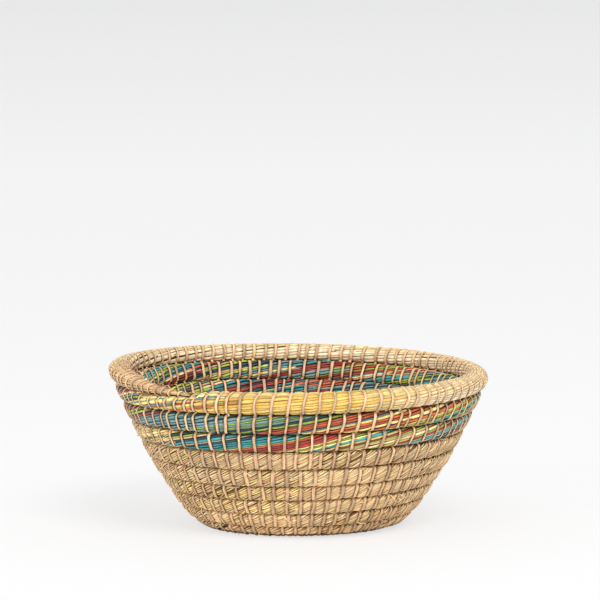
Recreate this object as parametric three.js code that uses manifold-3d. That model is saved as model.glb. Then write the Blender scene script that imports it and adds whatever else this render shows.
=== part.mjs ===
// A coiled grass basket bowl. Lengths are in millimetres, +Z is up, and the origin is the middle of the base's underside.
// One bundle of grass is wound in a rising spiral from the middle of the base to the rim, each row seated on the row
// before it. Strands of dyed grass lie on the outside of the rows under the rim, and twine is wound round the rim row.
import * as THREE from "three";
import { mergeVertices } from "three/addons/utils/BufferGeometryUtils.js";
import Module from "manifold-3d";

const wasm = await Module();
wasm.setup();

// The bowl's profile, along the middle of the bundle
const baseRadius = 47.5;
const rimRadius = 96.8;
const rimHeight = 85;
const cornerReach = 11;
const wallReach = 34;
const rimLean = THREE.MathUtils.degToRad(68);

// The bundle of grass, measured across the corners of its facets
const startRadius = 2.8;
const startDiameter = 4;
const lowerDiameter = 8.8;
const upperDiameter = 10.4;
const upperBandHeight = 62;
const tailDiameter = 2.6;
const tailLength = 75;
const flatDepth = 0.1 * lowerDiameter;

// Clearances
const rowGap = 0.5;
const seatGap = 0.3;
const buttGap = 0.3;

// The bundle ends at the front left of the rim. Its dyed part is given in turns back from that end.
const endAngle = THREE.MathUtils.degToRad(233);
const dyedStartTurns = 3.12;
const dyedEndTurns = 0.97;

// The twine wound round the rim row
const twineWidth = 1.3;
const twineThickness = 0.6;
const twinePitch = 6.9;

// Each dyed strand crosses the outside of its row from bottom to top.
const strandWidth = 3.2;
const strandThickness = 0.5;
const strandLength = 57;
const strandSpacing = 44;

// Fineness of the faceted solids
const stepsPerTurn = 24;
const bundleSides = 8;
const strandStepsPerStation = 4;
const profileDivisions = 400;

const turn = 2 * Math.PI;
const mitre = 1 / Math.cos(Math.PI / bundleSides);
const floor = lowerDiameter / 2 - flatDepth;
const boundGap = (seatGap + twineThickness) * mitre + seatGap;

const profile = makeProfile();
const profileLength = profile.getLength();
const bundle = windBundle();
const lastStation = bundle.length - 1;

// A flat base, a corner that turns up, and a wall that steepens towards the rim
function makeProfile() {
  const corner = new THREE.Vector2(baseRadius, floor);
  const cornerHandle = new THREE.Vector2(baseRadius + cornerReach, floor);
  const rim = new THREE.Vector2(rimRadius, rimHeight);
  const wallHandle = new THREE.Vector2(-Math.cos(rimLean), -Math.sin(rimLean)).multiplyScalar(wallReach).add(rim);
  const path = new THREE.CurvePath();
  path.add(new THREE.LineCurve(new THREE.Vector2(0, floor), corner));
  path.add(new THREE.CubicBezierCurve(corner, cornerHandle, wallHandle, rim));
  path.arcLengthDivisions = profileDivisions;
  path.curves.forEach((curve) => (curve.arcLengthDivisions = profileDivisions));
  return path;
}

function profilePoint(distance) {
  return profile.getPointAt(Math.min(distance / profileLength, 1));
}

// The bundle fills out over its first row, and again below the rows under the rim.
function diameterAbove(under) {
  const filled = THREE.MathUtils.clamp(under.distance / lowerDiameter, 0, 1);
  const upperStart = profileLength - upperBandHeight;
  const thickened = THREE.MathUtils.smoothstep(under.distance, upperStart - upperDiameter, upperStart);
  return THREE.MathUtils.lerp(THREE.MathUtils.lerp(startDiameter, lowerDiameter, filled), upperDiameter, thickened);
}

// The gap over a row. Under the rim row it opens enough for the twine to pass through.
function gapAbove(under) {
  const boundStart = profileLength - 2 * (upperDiameter + boundGap);
  const opened = THREE.MathUtils.smoothstep(under.distance, boundStart - upperDiameter, boundStart);
  return THREE.MathUtils.lerp(rowGap, boundGap, opened);
}

// The distance along the profile at which a bundle of this diameter clears the row under it
function seatedDistance(under, diameter) {
  const reach = (under.diameter + diameter) / 2 + gapAbove(under);
  const middle = profilePoint(under.distance);
  let rise = reach;
  for (let pass = 0; pass < 4; pass++) {
    rise *= reach / middle.distanceTo(profilePoint(under.distance + rise));
  }
  return under.distance + rise;
}

// The stations that the bundle passes through, a fixed number to each turn. The first turn curls round the middle of
// the base, and each one after it seats on the turn before. The tail thins out and settles on the row under it.
function windBundle() {
  const first = { distance: startRadius, diameter: startDiameter };
  const second = { diameter: diameterAbove(first) };
  second.distance = seatedDistance(first, second.diameter);
  const stations = [];
  for (let i = 0; i < stepsPerTurn; i++) {
    const share = i / stepsPerTurn;
    stations.push({
      distance: THREE.MathUtils.lerp(first.distance, second.distance, share),
      diameter: THREE.MathUtils.lerp(first.diameter, second.diameter, share),
    });
  }
  for (;;) {
    const under = stations.at(-stepsPerTurn);
    const diameter = diameterAbove(under);
    const distance = seatedDistance(under, diameter);
    if (distance > profileLength) break;
    stations.push({ distance, diameter });
  }
  const last = stations.length - 1;
  const tailSteps = Math.round((tailLength / (turn * rimRadius)) * stepsPerTurn);
  for (let i = last - tailSteps + 1; i <= last; i++) {
    const thinned = 1 - (last - i) / tailSteps;
    stations[i].diameter = THREE.MathUtils.lerp(stations[i].diameter, tailDiameter, thinned);
    stations[i].distance = seatedDistance(stations[i - stepsPerTurn], stations[i].diameter);
  }
  return stations.map((station, i) => placed(station, endAngle - ((last - i) / stepsPerTurn) * turn));
}

// A station's middle, and its two section directions: out of the bowl's wall, and up along it
function placed({ distance, diameter }, angle) {
  const point = profilePoint(distance);
  const along = profile.getTangentAt(Math.min(distance / profileLength, 1));
  const turned = (across, height) => new THREE.Vector3(across * Math.cos(angle), across * Math.sin(angle), height);
  return {
    middle: turned(point.x, point.y),
    outward: turned(along.y, -along.x),
    upward: turned(along.x, along.y),
    radius: diameter / 2,
  };
}

// A point off the bundle's middle. Its place is counted in stations, and between two of them it lies on straight facets.
// The section angle starts at the outward direction and turns towards the upward one.
function besideBundle(place, sectionAngle, clearance, forwards = 0) {
  const i = Math.min(Math.floor(place), lastStation - 1);
  const [from, to] = [bundle[i], bundle[i + 1]].map(({ middle, outward, upward, radius }) =>
    middle
      .clone()
      .addScaledVector(outward, (radius + clearance) * Math.cos(sectionAngle))
      .addScaledVector(upward, (radius + clearance) * Math.sin(sectionAngle)),
  );
  const forward = to.clone().sub(from).normalize();
  return from.lerp(to, place - i).addScaledVector(forward, forwards);
}

// How many stations a length along the bundle takes up at a place
function stationsFor(length, place) {
  const i = Math.min(Math.floor(place), lastStation - 1);
  return length / bundle[i].middle.distanceTo(bundle[i + 1].middle);
}

// A closed body through rings of points, with a fan of triangles over each end. Seen from its start, each ring runs
// clockwise.
function loft(rings) {
  const sides = rings[0].length;
  const index = [];
  for (let ring = 0; ring + 1 < rings.length; ring++) {
    for (let side = 0; side < sides; side++) {
      const a = ring * sides + side;
      const b = ring * sides + ((side + 1) % sides);
      index.push(a, b, a + sides, b, b + sides, a + sides);
    }
  }
  const end = (rings.length - 1) * sides;
  for (let side = 1; side + 1 < sides; side++) {
    index.push(0, side + 1, side);
    index.push(end, end + side, end + side + 1);
  }
  const geometry = new THREE.BufferGeometry();
  geometry.setFromPoints(rings.flat());
  geometry.setIndex(index);
  return geometry;
}

function bundleRing(place) {
  const corners = Array.from({ length: bundleSides }, (_, side) => -(side / bundleSides) * turn);
  return corners.map((angle) => besideBundle(place, angle, 0));
}

// A length of the bundle between two stations. Each end that meets another length stands back by half the butt gap.
function bundleLength(from, to) {
  const start = from > 0 ? from + stationsFor(buttGap / 2, from) : from;
  const end = to < lastStation ? to - stationsFor(buttGap / 2, to) : to;
  const places = [start];
  for (let i = Math.floor(start) + 1; i < end; i++) places.push(i);
  places.push(end);
  return loft(places.map(bundleRing));
}

function toSolid(geometry) {
  const bare = geometry.clone();
  bare.deleteAttribute("normal");
  bare.deleteAttribute("uv");
  const merged = mergeVertices(bare);
  const vertProperties = new Float32Array(merged.attributes.position.array);
  const triVerts = new Uint32Array(merged.index.array);
  return new wasm.Manifold(new wasm.Mesh({ numProp: 3, vertProperties, triVerts }));
}

function toGeometry(solid) {
  const { vertProperties, triVerts } = solid.getMesh();
  const geometry = new THREE.BufferGeometry();
  geometry.setAttribute("position", new THREE.BufferAttribute(vertProperties, 3));
  geometry.setIndex(new THREE.BufferAttribute(triVerts, 1));
  return geometry;
}

// The bowl rests on a flat that is pressed into the underside of its base rows.
function pressedFlat(geometry) {
  const below = new THREE.BoxGeometry(4 * rimRadius, 4 * rimRadius, rimHeight).translate(0, 0, -rimHeight / 2);
  return toGeometry(toSolid(geometry).subtract(toSolid(below)));
}

// One unbroken helix of twine that bends at the bundle's corners and passes through the gap under the row
function rimTwine(from, to) {
  const wrap = stationsFor(twinePitch, from);
  const wraps = Math.floor((to - from) / wrap);
  const rings = [];
  for (let step = 0; step <= wraps * bundleSides; step++) {
    const place = from + (step / bundleSides) * wrap;
    const angle = (step / bundleSides) * turn - Math.PI;
    rings.push([
      besideBundle(place, angle, seatGap * mitre, twineWidth / 2),
      besideBundle(place, angle, seatGap * mitre, -twineWidth / 2),
      besideBundle(place, angle, (seatGap + twineThickness) * mitre),
    ]);
  }
  return rings;
}

// A flat dyed strand. Its edges stay short of the half-way line to the rows above and below it.
function dyedStrand(from) {
  const outer = upperDiameter / 2 + seatGap + strandThickness;
  const halfWidth = strandWidth / (2 * outer);
  const reach = Math.asin((upperDiameter / 2 + (rowGap - seatGap) / 2) / outer) - halfWidth;
  const steps = Math.round(stationsFor(strandLength, from) * strandStepsPerStation);
  const rings = [];
  for (let step = 0; step <= steps; step++) {
    const place = from + step / strandStepsPerStation;
    const angle = THREE.MathUtils.lerp(-reach, reach, step / steps);
    rings.push([
      besideBundle(place, angle - halfWidth, seatGap),
      besideBundle(place, angle + halfWidth, seatGap),
      besideBundle(place, angle + halfWidth, seatGap + strandThickness),
      besideBundle(place, angle - halfWidth, seatGap + strandThickness),
    ]);
  }
  return loft(rings);
}

// The least gap, on points, between rings that lie one turn apart
function leastGap(rings, ringsPerTurn) {
  let least = Infinity;
  for (let i = ringsPerTurn; i < rings.length; i++) {
    for (const point of rings[i]) {
      for (const other of rings[i - ringsPerTurn]) least = Math.min(least, point.distanceTo(other));
    }
  }
  return least.toFixed(2);
}

const straw = new THREE.MeshStandardMaterial({ color: 0xd8b878, roughness: 0.75, metalness: 0 });
const twine = new THREE.MeshStandardMaterial({ color: 0xe2c09a, roughness: 0.8, metalness: 0 });
const dyes = Object.entries({
  blue: 0x5f93a8,
  green: 0xa5bb3c,
  orange: 0xd9673f,
  teal: 0x2f8f95,
  red: 0xb64a48,
  navy: 0x23505f,
});

const bowl = new THREE.Group();

function add(name, geometry, material) {
  const mesh = new THREE.Mesh(geometry, material);
  mesh.name = name;
  bowl.add(mesh);
}

// The bundle, in the four lengths in which its grass changes
const wallStart = bundle.findIndex(({ middle }) => middle.z > lowerDiameter / 2 + seatGap);
const dyedStart = lastStation - Math.round(dyedStartTurns * stepsPerTurn);
const rimStart = lastStation - Math.round(dyedEndTurns * stepsPerTurn);
add("base_coil", pressedFlat(bundleLength(0, wallStart)), straw);
add("wall_coil", bundleLength(wallStart, dyedStart), straw);
add("dyed_rows_coil", bundleLength(dyedStart, rimStart), straw);
add("rim_coil", bundleLength(rimStart, lastStation), straw);

const twineEnd = lastStation - stationsFor(tailLength, lastStation);
const twineRings = rimTwine(rimStart + 1, twineEnd);
add("rim_twine", loft(twineRings), twine);

// The dyed strands follow one another along the dyed rows.
const strandSteps = Math.round(stationsFor(strandSpacing, dyedStart) * strandStepsPerStation);
const strandEnd = rimStart - stationsFor(strandLength + buttGap, rimStart);
const strandStart = dyedStart + 1 / strandStepsPerStation;
const strandCount = Math.floor(((strandEnd - strandStart) * strandStepsPerStation) / strandSteps) + 1;
for (let i = 0; i < strandCount; i++) {
  const [dye, color] = dyes[i % dyes.length];
  const grass = new THREE.MeshStandardMaterial({ color, roughness: 0.6, metalness: 0 });
  const place = strandStart + (i * strandSteps) / strandStepsPerStation;
  add(`dyed_strand_${String(i + 1).padStart(2, "0")}_${dye}`, dyedStrand(place), grass);
}

console.log(
  `${(lastStation / stepsPerTurn).toFixed(1)} rows. Least gaps in mm: between rows ` +
    `${leastGap(bundle.map((_, place) => bundleRing(place)), stepsPerTurn)}, ` +
    `between wraps of twine ${leastGap(twineRings, bundleSides)}.`,
);

export default bowl;
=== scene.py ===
"""A coiled grass basket bowl, dressed strand by strand.

Lengths are in millimetres until a mesh is written. A point on the bundle of grass has two coordinates: its
length along the coil, and its angle round the bundle, from the outside of the bowl up towards the rim.
"""

import math

import bpy
import numpy as np
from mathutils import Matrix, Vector


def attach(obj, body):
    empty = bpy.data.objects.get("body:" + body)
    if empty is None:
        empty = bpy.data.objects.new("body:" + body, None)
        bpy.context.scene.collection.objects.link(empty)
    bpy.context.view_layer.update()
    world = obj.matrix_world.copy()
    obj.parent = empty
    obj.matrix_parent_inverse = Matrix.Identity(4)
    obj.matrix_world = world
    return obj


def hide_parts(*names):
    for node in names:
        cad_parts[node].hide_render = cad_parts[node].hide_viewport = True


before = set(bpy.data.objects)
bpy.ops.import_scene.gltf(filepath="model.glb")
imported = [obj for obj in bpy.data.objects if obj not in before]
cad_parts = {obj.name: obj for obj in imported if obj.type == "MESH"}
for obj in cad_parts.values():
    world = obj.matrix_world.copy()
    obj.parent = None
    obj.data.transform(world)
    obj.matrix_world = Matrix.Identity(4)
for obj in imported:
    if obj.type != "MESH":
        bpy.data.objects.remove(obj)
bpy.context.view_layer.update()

MM = 0.001
TURN = 2 * math.pi
FRONT_ANGLE = 1.5 * math.pi

# The bowl's profile and bundle, as in the solid model
BASE_RADIUS = 47.5
RIM_RADIUS = 96.8
RIM_HEIGHT = 85
CORNER_REACH = 11
WALL_REACH = 34
RIM_LEAN = math.radians(68)
START_RADIUS = 2.8
START_DIAMETER = 4
LOWER_DIAMETER = 8.8
UPPER_DIAMETER = 10.4
UPPER_BAND_HEIGHT = 62
TAIL_LENGTH = 75
FLOOR_LEVEL = LOWER_DIAMETER / 2 - 0.1 * LOWER_DIAMETER
ROW_GAP = 0.5
END_ANGLE = math.radians(233)
STEPS_PER_TURN = 24

# The rim row seats closer than in the solid model, and its tail is thinner
BOUND_GAP = 0.6
TAIL_DIAMETER = 1.2
TAIL_TURNS = TAIL_LENGTH / (TURN * RIM_RADIUS)
TAIL_SINK = 3.2
TAIL_SINK_FADE = (1.3 * TAIL_TURNS, 0.4 * TAIL_TURNS)

# Round rows stand a little higher than the solid model's flat base
BASE_RISE = 1.15
BASE_RISE_FADE = (BASE_RADIUS - 2, BASE_RADIUS + 20)
BASE_EDGE_HEIGHT = 4.9
SETTLING = 0.12

# How finely the coil is worked out
PROFILE_STEPS = 800
SEATING_STEPS = 4
GRID_STEPS = 8

# Places along the coil, in turns back from its end. A fade is the start of a change and its end.
RIM_TURNS = 0.95
DYED_TURNS = 3.1
FREE_TOP_TURNS = 1.01
DYED_FADE = (3.3, 2.9)
RIM_FADE = (1.4, 0.9)
RIM_TOP_FADE = (1, 0.7)
TAIL_PRESS_FADE = (0.98, 1)
LOWER_LAY_FADE = (2.1, 2.4)
RIM_CONTACT_FADE = (1, 0.9)
RIM_GROOVE_FADE = (2.05, 1.85)
DYED_GROOVE_FADE = (3.2, 3)
CORE_TOP_FADE = (1, 1.05)
# Where the painted shade on the natural rows near the dyed rows fades out
NEAR_DYED_SHADE_FADE = (3.4, 5.3)
PALE_RIM_FADE = (0.86, 0.74)
TAIL_FADE = (0.17, 0.12)

# How steeply the grass lies. The swing makes it steeper on the bowl's right. A spot is a middle and a reach.
NATURAL_LAY = math.radians(28)
NATURAL_LAY_SWING = math.radians(8)
DYED_LAY = math.radians(9.8)
LOWER_LAY_RISE = math.radians(6)
LOWER_LAY_SPOT = (0.15, 0.15)
RIM_LAY = math.radians(5.5)

# The stems, and how uneven they are
NATURAL_WIDTH = 0.95
NATURAL_SPREAD = 0.45
NATURAL_ROUGHNESS = 0.17
# How light the natural stems' edges are painted, a painted shade between neighbouring stems
NATURAL_EDGE_SHADE = (0.25, 0.75)
DYED_WIDTH = 1.25
DYED_ROUGHNESS = 0.13
RIM_WIDTH = 1.5
RIM_SPREAD = 0.3
RIM_ROUGHNESS = 0.1
# How light the edges of the dyed and rim stems are painted, a painted shade between neighbouring stems
UPPER_EDGE_SHADE = 0.78
STRAW_THICKNESS = 0.42
LEAST_RADIUS = 3.6
SEAM_OVERLAP = 3.5

# The bundle's section: rounded squares, because the rows press one another flat
FULL_RADIUS = 4
OUTWARD_SWELL = 0.35
NATURAL_SWELL = 0.1
NATURAL_SQUARENESS = 5.2
DYED_SQUARENESS = 4.2
RIM_SQUARENESS = 2.5
RIM_FLATTENING = 1.3
CORE_DEPTH = 1
CORE_RIDGE = 0.45
CORE_RIDGE_SHARPNESS = 12

# How far a stitch leans along its row, by turns back from the end
SLANT_TURNS = [0, 0.15, 0.9, 1.9, 2.9, 3.5]
SLANTS = [0.8, 2, 2, 2.1, 1.2, 0.5]

# The room for a stitch, by turns back from the end, at the front of the bowl and elsewhere
SPACING_TURNS = [TAIL_TURNS - 0.01, TAIL_TURNS + 0.02, 2.6, 3.2, 4.8, 5.4, 9, 13, 14.6]
FRONT_SPACINGS = [5.2, 6.9, 6.8, 6.4, 6.4, 6.4, 6.2, 5.4, 4]
SIDE_SPACINGS = [5.2, 6.2, 6.2, 7.8, 7.8, 6.6, 6.2, 5.4, 4]
SPACING_SPREAD = (0.88, 1.12)
LEAST_SPACING = 0.72
FRONT_WIDTH = 0.55

# Each stitch is pulled towards the one under it, when that is near
FIRST_STITCH = 2.5
END_MARGIN = 2
NEIGHBOUR_REACH = 12
PULL_REACH = 0.45
PULL_TURNS = 3
UPPER_PULL = 0.75
LOWER_PULL = 0.4

# The twine and the hollows that it pulls into the bundle
TWINE_HALF_WIDTH = 0.76
TWINE_HALF_WIDTH_NATURAL = 0.9
TWINE_HALF_THICKNESS = 0.34
TWINE_LIFT = TWINE_HALF_THICKNESS + 0.08
TWINE_PRESS = 0.1
TWINE_WANDER = 0.3
# How light the twine's edges are painted, a painted shade
TWINE_EDGE_SHADE = 0.55
STITCH_ANGLES = np.radians(np.concatenate([np.linspace(-66, 66, 10), np.arange(80, 246, 20), [246]]))
ENTRY_ANGLES = (56, 70)
ENTRY_TURN = 3
ENTRY_DEPTH = 2.2
ENTRY_SHIFTS = {-0.4: 0.3, 0: 0.35, 0.8: 0.2, 1.6: 0.15}
PINCH_WIDTH = 1.25
PINCH_CROWN = 0.62
PINCH_CROWN_NATURAL = 0.85
PINCH_GROOVE = 1.2

# Painted shade: how dark the grass is painted beside the twine, in the grooves and at the foot of the wall
CONTACT_SPOT = (1.1, 0.44)
CONTACT_DARKNESS = 0.9
FRONT_DARKNESS = 0.5
RIM_CONTACT = 0.45
GROOVE_START = 0.68
RIM_GROOVE_START = 0.78
GROOVE_SPREAD = 0.17
GROOVE_DARKNESS = 0.6
DYED_GROOVE_DARKNESS = 0.85
FOOT_DARKNESS = 0.85
FOOT_HEIGHT = 1.9
FOOT_RADIUS_FADE = (42, 44)
FOOT_FACING_FADE = (-0.05, 0.15)
UNDERSIDE_REACH = 1.5
UNDERSIDE_FADE = (0.8, 0.97)
WARMTH = np.array([1, 1.25, 1.65])

# Plain colours, as they look in even light
STRAW_PALE = (245, 218, 168)
STRAW_TAN = (243, 206, 152)
STRAW_BROWN = (224, 180, 130)
STRAW_GOLD = (246, 214, 134)
STRAW_DARK = (150, 104, 58)
STRAW_GREEN = (214, 194, 124)
# Painted shade: near-black for the strips laid in the grooves between the rows
GROOVE_SHADE_BROWN = (62, 40, 22)
# Painted shade: the dark brown of the inner grass, which shows in the gaps between stems and rows
CORE_SHADE_BROWN = (92, 58, 28)
RIM_BEIGE = (254, 237, 204)
TAIL_BEIGE = (224, 188, 142)
TWINE_PEACH = (236, 198, 156)
TWINE_TAN = (228, 188, 146)
DYES = {
    "blue": (116, 152, 154),
    "green": (168, 190, 70),
    "orange": (210, 99, 56),
    "teal": (60, 152, 160),
    "red": (173, 66, 53),
    "navy": (32, 70, 82),
    "yellow": (246, 224, 140),
    "beige": (240, 208, 158),
}

# The rim's stems: each colour with the share of stems up to it
RIM_COLOURS = [(0.5, (232, 196, 106)), (0.77, (216, 170, 78)), (0.93, (238, 212, 140)), (1, (186, 136, 66))]

# Golden patches in the natural grass: turns back from the end, half width in turns, and strength
GOLDEN_PATCHES = [(5.97, 0.07, 0.5), (6.97, 0.07, 0.5), (3.06, 0.03, 0.9)]

# The dyed strands at the front, from left to right: dye and width
UPPER_ROW = [
    ("red", 1.5), ("green", 2.6), ("navy", 0.7), ("red", 1), ("blue", 3.4), ("teal", 0.6), ("blue", 3.1),
    ("navy", 0.3), ("blue", 3), ("green", 0.6), ("blue", 1.4), ("green", 0.5), ("blue", 1.2), ("navy", 1.1),
    ("green", 1.4), ("navy", 0.2), ("orange", 3.2), ("navy", 0.3), ("blue", 0.6), ("yellow", 1.6),
    ("orange", 2.6), ("yellow", 1.8), ("navy", 0.3), ("orange", 1.8), ("yellow", 1.6), ("green", 0.6),
    ("orange", 1), ("green", 1), ("teal", 1.4), ("navy", 1), ("green", 0.8), ("blue", 1.6), ("beige", 1),
]
LOWER_ROW = [
    ("beige", 3), ("yellow", 4.5), ("navy", 1.5), ("green", 1), ("beige", 1), ("navy", 1.4), ("teal", 1.6),
    ("beige", 0.5), ("navy", 1.2), ("teal", 3.8), ("green", 0.7), ("red", 4.6), ("yellow", 1), ("green", 1),
    ("yellow", 0.8), ("teal", 1.4), ("yellow", 1.4), ("red", 1), ("green", 0.8), ("beige", 2.8),
    ("green", 0.5), ("yellow", 0.6), ("red", 1.5), ("beige", 0.6), ("teal", 1.8), ("beige", 0.4),
    ("navy", 1.2), ("teal", 1), ("navy", 0.8), ("orange", 1), ("beige", 2), ("green", 1), ("blue", 2.4),
    ("navy", 1), ("blue", 1.6), ("orange", 1),
]
RIM_START = [
    ("beige", 1.5), ("blue", 0.8), ("navy", 0.6), ("green", 1), ("navy", 0.8), ("yellow", 1), ("teal", 0.8),
    ("yellow", 1.8), ("blue", 1.7), ("red", 0.6), ("yellow", 1.4), ("green", 0.6), ("orange", 1.6),
]

# One strand of each row, counted from 0, and the turns back from the end at which it crosses the outside
UPPER_ANCHOR = (16, 1.8875)
LOWER_ANCHOR = (11, 2.903)
RIM_ANCHOR = (8, 1.024)

# The dyes' shares at the back, in the order of DYES, and the widths of their bands
BACK_SHARES = [0.15, 0.15, 0.13, 0.13, 0.13, 0.11, 0.12, 0.08]
BACK_WIDTHS = [0.7, 1, 1.5, 2, 3]
LEAST_BACK_WIDTH = 0.5


def fade(value, low, high):
    """Changes smoothly from 0 at the low value to 1 at the high one."""
    share = np.clip((value - low) / (high - low), 0, 1)
    return share * share * (3 - 2 * share)


def mix(a, b, share):
    return a + (b - a) * share


def unit(vectors):
    return vectors / np.linalg.norm(vectors, axis=-1, keepdims=True)


def summed(steps):
    """The sum of the steps so far, from 0."""
    return np.insert(np.cumsum(steps, axis=-1), 0, 0, axis=-1)


def run_along(points):
    """The distance of each point from the start of its line."""
    return summed(np.linalg.norm(np.diff(points, axis=-2), axis=-1))


def bump(value, middle, reach):
    """1 at the middle, falling smoothly to nearly 0 at twice the reach."""
    return np.exp(-(((value - middle) / reach) ** 2))


def linear(colour):
    """A colour of 0 to 255 as scene-linear values."""
    share = np.asarray(colour, float) / 255
    return np.where(share <= 0.04045, share / 12.92, ((share + 0.055) / 1.055) ** 2.4)


def warm(light):
    """A factor on colour for a share of light. Shadow is browner as well as darker."""
    return np.asarray(light)[..., None] ** WARMTH


# The coil

def make_profile():
    """Distances along the bowl's profile, with the points and the directions there."""
    corner = np.array([BASE_RADIUS, FLOOR_LEVEL])
    rim = np.array([RIM_RADIUS, RIM_HEIGHT])
    corner_handle = corner + [CORNER_REACH, 0]
    wall_handle = rim - WALL_REACH * np.array([math.cos(RIM_LEAN), math.sin(RIM_LEAN)])
    t = np.linspace(0, 1, PROFILE_STEPS + 1)[:, None]
    wall = (1 - t) ** 3 * corner + 3 * (1 - t) ** 2 * t * corner_handle
    wall = wall + 3 * (1 - t) * t ** 2 * wall_handle + t ** 3 * rim
    base = np.linspace([0, FLOOR_LEVEL], corner, PROFILE_STEPS + 1)[:-1]
    points = np.vstack([base, wall])
    return run_along(points), points, unit(np.gradient(points, axis=0))


PROFILE_DISTANCE, PROFILE_POINT, PROFILE_ALONG = make_profile()
PROFILE_LENGTH = PROFILE_DISTANCE[-1]


def on_profile(table, distance):
    """A table's two values at distances along the profile."""
    return np.array([np.interp(distance, PROFILE_DISTANCE, table[:, axis]) for axis in (0, 1)])


def diameter_above(distance):
    """The bundle's diameter in the row over a place on the profile."""
    filled = np.clip(distance / LOWER_DIAMETER, 0, 1)
    upper_start = PROFILE_LENGTH - UPPER_BAND_HEIGHT
    thickened = fade(distance, upper_start - UPPER_DIAMETER, upper_start)
    return mix(mix(START_DIAMETER, LOWER_DIAMETER, filled), UPPER_DIAMETER, thickened)


def gap_above(distance):
    """The gap over a row, which is wider under the rim row."""
    bound_start = PROFILE_LENGTH - 2 * (UPPER_DIAMETER + BOUND_GAP)
    return mix(ROW_GAP, BOUND_GAP, fade(distance, bound_start - UPPER_DIAMETER, bound_start))


def seated_distance(under, under_diameter, diameter):
    """Where on the profile a bundle of this diameter seats on the row under it."""
    reach = (under_diameter + diameter) / 2 + gap_above(under)
    middle = on_profile(PROFILE_POINT, under)
    rise = reach
    for _ in range(SEATING_STEPS):
        rise = rise * reach / np.linalg.norm(on_profile(PROFILE_POINT, under + rise) - middle)
    return under + rise


def tail_sink(turns):
    """How far the bundle has sunk into the row under it, so many turns before its end."""
    return TAIL_SINK * fade(turns, *TAIL_SINK_FADE)


def wind_bundle():
    """The distance and diameter at each station of the bundle."""
    second_diameter = diameter_above(START_RADIUS)
    second_distance = seated_distance(START_RADIUS, START_DIAMETER, second_diameter)
    shares = np.arange(STEPS_PER_TURN) / STEPS_PER_TURN
    distances = list(mix(START_RADIUS, second_distance, shares))
    diameters = list(mix(START_DIAMETER, second_diameter, shares))
    while True:
        diameter = diameter_above(distances[-STEPS_PER_TURN])
        distance = seated_distance(distances[-STEPS_PER_TURN], diameters[-STEPS_PER_TURN], diameter)
        if distance > PROFILE_LENGTH:
            break
        distances.append(distance)
        diameters.append(diameter)
    last = len(distances) - 1
    tail_steps = round(TAIL_TURNS * STEPS_PER_TURN)
    for i in range(last - tail_steps + 1, last + 1):
        diameters[i] = mix(diameters[i], TAIL_DIAMETER, 1 - (last - i) / tail_steps)
        under = i - STEPS_PER_TURN
        distances[i] = seated_distance(distances[under], diameters[under], diameters[i])
    for i in range(last - 2 * tail_steps, last + 1):
        distances[i] -= tail_sink((last - i) / STEPS_PER_TURN)
    return np.array(distances), np.array(diameters)


COIL_DISTANCE, COIL_DIAMETER = wind_bundle()
LAST = len(COIL_DISTANCE) - 1
STATIONS = np.arange(LAST + 1)


def frame_at(place):
    """The bundle's middle at places counted in stations, and its directions out of the wall and up."""
    distance = np.interp(place, STATIONS, COIL_DISTANCE)
    angle = END_ANGLE - (LAST - place) / STEPS_PER_TURN * TURN
    across, height = on_profile(PROFILE_POINT, distance)
    height = height + BASE_RISE * (1 - fade(distance, *BASE_RISE_FADE))
    along_x, along_z = on_profile(PROFILE_ALONG, distance)
    cos, sin = np.cos(angle), np.sin(angle)
    middle = np.stack([across * cos, across * sin, height], axis=-1)
    outward = np.stack([along_z * cos, along_z * sin, -along_x], axis=-1)
    upward = np.stack([along_x * cos, along_x * sin, along_z], axis=-1)
    return middle, outward, upward


# Tables that turn a length along the coil into a place
GRID_PLACE = np.linspace(0, LAST, GRID_STEPS * LAST + 1)
GRID_MIDDLE = frame_at(GRID_PLACE)[0]
GRID_LENGTH = run_along(GRID_MIDDLE)
GRID_RADIUS = np.interp(GRID_PLACE, STATIONS, COIL_DIAMETER / 2)
COIL_LENGTH = GRID_LENGTH[-1]


def place_at(length):
    return np.interp(length, GRID_LENGTH, GRID_PLACE)


def length_at(place):
    return np.interp(place, GRID_PLACE, GRID_LENGTH)


def radius_at(length):
    return np.interp(length, GRID_LENGTH, GRID_RADIUS)


def turns_back(length):
    return (LAST - place_at(length)) / STEPS_PER_TURN


def length_at_turns(turns):
    return length_at(LAST - turns * STEPS_PER_TURN)


def one_row_under(length):
    return length_at(np.maximum(place_at(length) - STEPS_PER_TURN, 0))


def angle_from_front(length):
    """How far round the bowl a place is from its front, to the right."""
    angle = END_ANGLE - turns_back(length) * TURN - FRONT_ANGLE
    return (angle + math.pi) % TURN - math.pi


def front_share(length):
    """1 at the front of the bowl and 0 at its sides and back."""
    return bump(angle_from_front(length), 0, FRONT_WIDTH)


def dyed_share(length):
    """0 in the natural rows and 1 from the dyed rows to the rim."""
    return fade(turns_back(length), *DYED_FADE)


def make_lay(angles):
    """Tables for strands laid edge to edge: their angles, the turning so far and the width laid so far."""
    angles = np.broadcast_to(angles, GRID_LENGTH.shape)
    steps = np.diff(GRID_LENGTH)
    turned = summed(steps / GRID_RADIUS[1:] * np.tan(angles[1:]))
    return angles, turned, summed(steps * np.sin(angles[1:]))


def turned_at(length, lay):
    """How far strands of this lay have turned round the bundle. They go on past the coil's ends."""
    angles, turned, _ = lay
    beyond = length - np.clip(length, 0, COIL_LENGTH)
    slope = np.tan(np.interp(length, GRID_LENGTH, angles)) / radius_at(length)
    return np.interp(length, GRID_LENGTH, turned) + beyond * slope


def dyed_lay(length):
    """Just right of the front, the dyed strands of the lower row lie steeper."""
    near = bump(angle_from_front(length), *LOWER_LAY_SPOT)
    return DYED_LAY + LOWER_LAY_RISE * near * fade(turns_back(length), *LOWER_LAY_FADE)


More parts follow.
